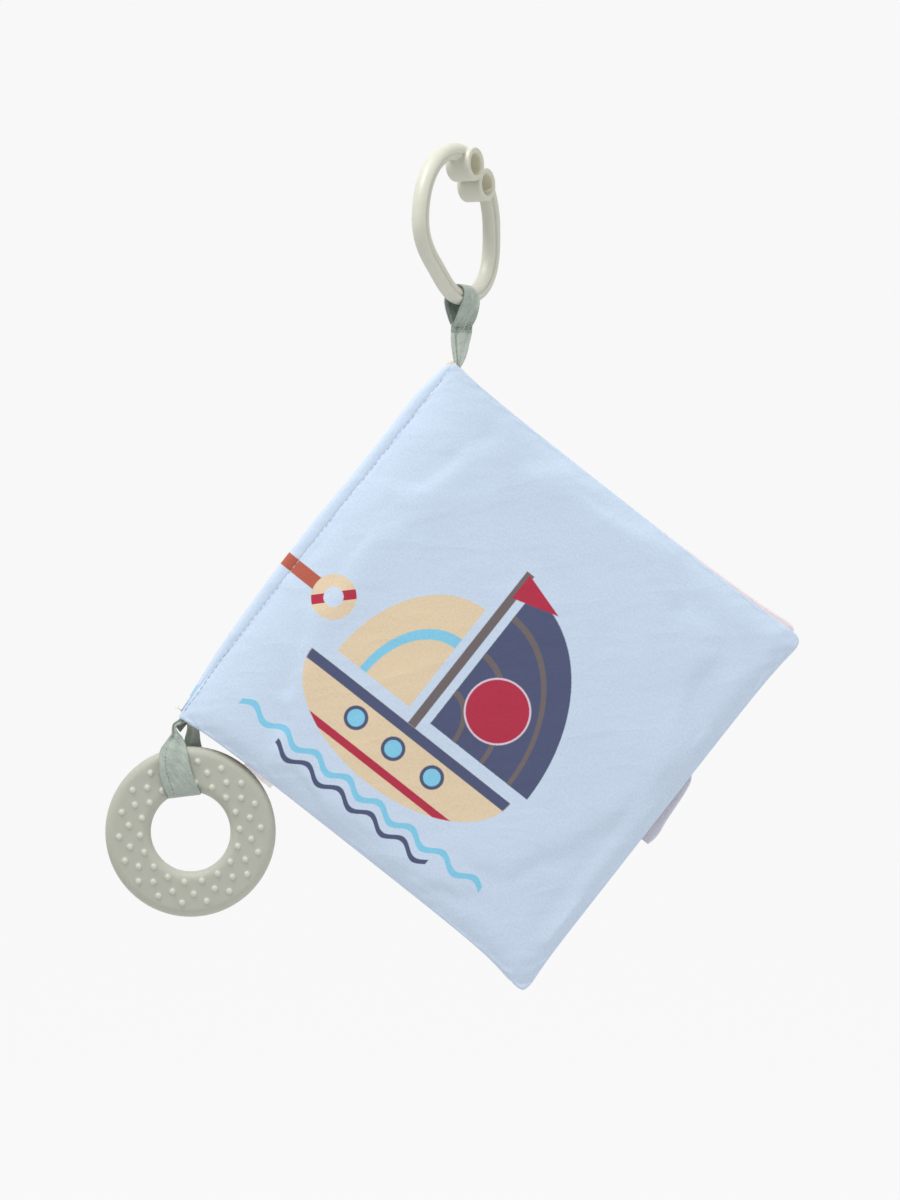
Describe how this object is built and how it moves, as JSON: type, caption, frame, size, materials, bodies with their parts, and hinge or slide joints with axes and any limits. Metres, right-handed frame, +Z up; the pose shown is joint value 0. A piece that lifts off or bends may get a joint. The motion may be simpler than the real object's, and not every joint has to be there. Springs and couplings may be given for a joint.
{
  "type": "crinkle cloth book",
  "caption": "Padded crinkle cloth book for a baby, hung by one corner from a plastic clip ring, with a silicone teething ring on a strap at its lower spine corner.",
  "frame": {"origin": "inner side of the clip ring's bar at the top of the ring, where it would hang from a hook; the book hangs below the origin", "axes": "+Z up, -Y out of the front cover towards the viewer, +X to the right seen from the front; the book hangs turned, its spine running down to -X"},
  "size_m": [0.2605, 0.0539, 0.3169],
  "materials": {
    "ring_plastic": "satin moulded",
    "strap_ribbon": "ribbed ribbon",
    "cover_cloth": null,
    "page_cloth": "brushed soft cloth",
    "wadding": "polyester wadding",
    "crinkle_film": "thin film",
    "tab_cloth": "folded soft cloth",
    "label_ribbon": "satin ribbon",
    "teether_silicone": "matt silicone"
  },
  "bodies": {
    "ring": {"hang_ring": "ring_plastic"},
    "strap": {"hang_strap_loop": "strap_ribbon", "hang_strap_tail": "strap_ribbon"},
    "book": {"spine_fabric": "cover_cloth", "spine_wadding": "wadding"},
    "front_cover": {"front_cover_outer_panel": "cover_cloth", "front_cover_inner_panel": "page_cloth", "front_cover_wadding": "wadding", "front_cover_crinkle_film": "crinkle_film"},
    "page": {"page_front_panel": "page_cloth", "page_back_panel": "page_cloth", "page_wadding": "wadding", "page_crinkle_film": "crinkle_film", "fore_edge_tab": "tab_cloth"},
    "back_cover": {"back_cover_inner_panel": "page_cloth", "back_cover_outer_panel": "cover_cloth", "back_cover_wadding": "wadding", "back_cover_crinkle_film": "crinkle_film", "care_label": "label_ribbon"},
    "lower_strap": {"teether_strap": "strap_ribbon"},
    "teether": {"teether_ring": "teether_silicone"}
  },
  "joints": [
    {"name": "strap_swing", "type": "hinge", "parent": "ring", "child": "strap", "pos_m": [0.00162, 0.00287, -0.05047], "axis": [-0.4909, -0.8712, 0], "range_deg": [-60, 60]},
    {"name": "book_swivel", "type": "hinge", "parent": "strap", "child": "book", "pos_m": [0, 0.00287, -0.07577], "axis": [0, -1, 0], "range_deg": [-45, 45]},
    {"name": "front_cover_open", "type": "hinge", "parent": "book", "child": "front_cover", "pos_m": [0, -0.00042, -0.07707], "axis": [-0.6194, 0, -0.7851], "range_deg": [0, 170]},
    {"name": "page_turn", "type": "hinge", "parent": "book", "child": "page", "pos_m": [0.00126, 0.00287, -0.07806], "axis": [-0.6194, 0, -0.7851], "range_deg": [0, 85]},
    {"name": "back_cover_open", "type": "hinge", "parent": "book", "child": "back_cover", "pos_m": [0, 0.00617, -0.07707], "axis": [0.6194, 0, 0.7851], "range_deg": [0, 170]},
    {"name": "teether_strap_swing", "type": "hinge", "parent": "book", "child": "lower_strap", "pos_m": [-0.10087, 0.00287, -0.21123], "axis": [0, 1, 0], "range_deg": [0, 80]},
    {"name": "teether_spin", "type": "hinge", "parent": "lower_strap", "child": "teether", "pos_m": [-0.09994, 0.00287, -0.25157], "axis": [0, 1, 0], "continuous": true}
  ],
  "couplings": [
    {"joint": "page_turn", "follows": "front_cover_open", "ratio": 0.5}
  ]
}
